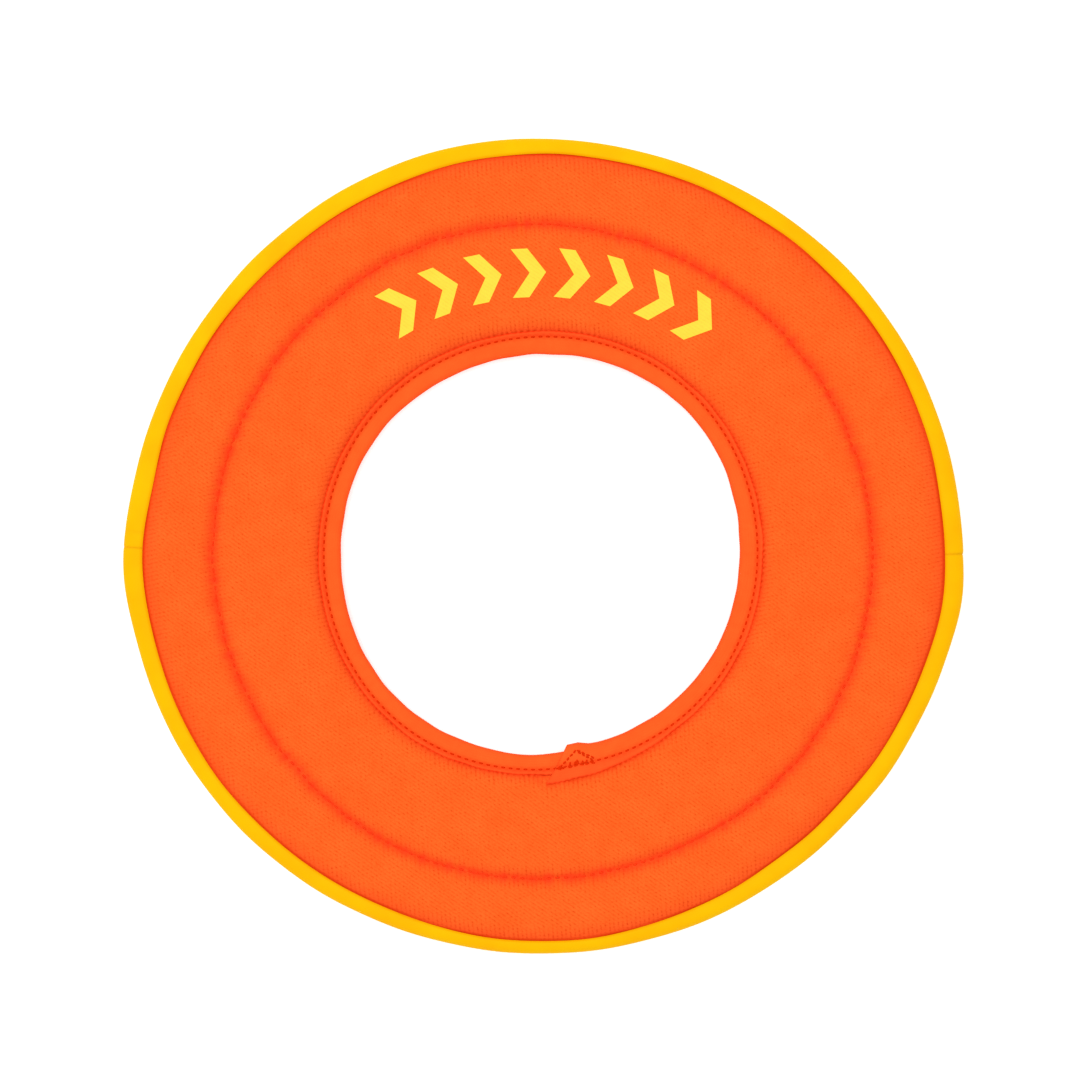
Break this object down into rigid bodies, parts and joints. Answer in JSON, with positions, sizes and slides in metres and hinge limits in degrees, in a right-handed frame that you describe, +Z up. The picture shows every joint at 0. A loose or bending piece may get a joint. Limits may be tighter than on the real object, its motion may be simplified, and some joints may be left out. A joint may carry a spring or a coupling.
{
  "type": "flying ring",
  "caption": "Soft quilted fabric flying ring for throwing: a foam pad between orange fabric covers, with a yellow rubber rim, a taped round hole and a row of printed chevrons.",
  "frame": {"origin": "middle of the ring's outline, at the height of its lowest face, so the ring lies flat on z = 0", "axes": "+Z up through the hole, out of the printed side; +Y towards the printed row; +X towards a join of the rim edging, along the ring's slightly longer diameter"},
  "size_m": [0.2852, 0.2768, 0.0109],
  "materials": {
    "cover_fabric": "dense matt synthetic weave with a fine diagonal rib, bright orange",
    "foam": "fine closed-cell foam sheet, off-white, matt; hidden inside the covers",
    "rim_edging": "smooth soft satin rubber, golden yellow",
    "hole_tape": "folded woven binding tape, fine cross rib, bright orange",
    "thread": "twisted synthetic sewing thread, reddish orange, slight sheen",
    "print": "thin satin heat-pressed film, lemon yellow"
  },
  "bodies": {
    "root": {"foam_core": "foam", "top_cover": "cover_fabric", "bottom_cover": "cover_fabric", "rim_edging_print_half": "rim_edging", "rim_edging_plain_half": "rim_edging", "hole_tape": "hole_tape", "hole_seam_needle_thread": "thread", "hole_seam_bobbin_thread": "thread", "quilt_seam_needle_thread": "thread", "quilt_seam_bobbin_thread": "thread", "rim_seam_needle_thread": "thread", "rim_seam_bobbin_thread": "thread", "tape_tack_thread": "thread", "print_chevron_1": "print", "print_chevron_2": "print", "print_chevron_3": "print", "print_chevron_4": "print", "print_chevron_5": "print", "print_chevron_6": "print", "print_chevron_7": "print", "print_chevron_8": "print"}
  },
  "joints": []
}
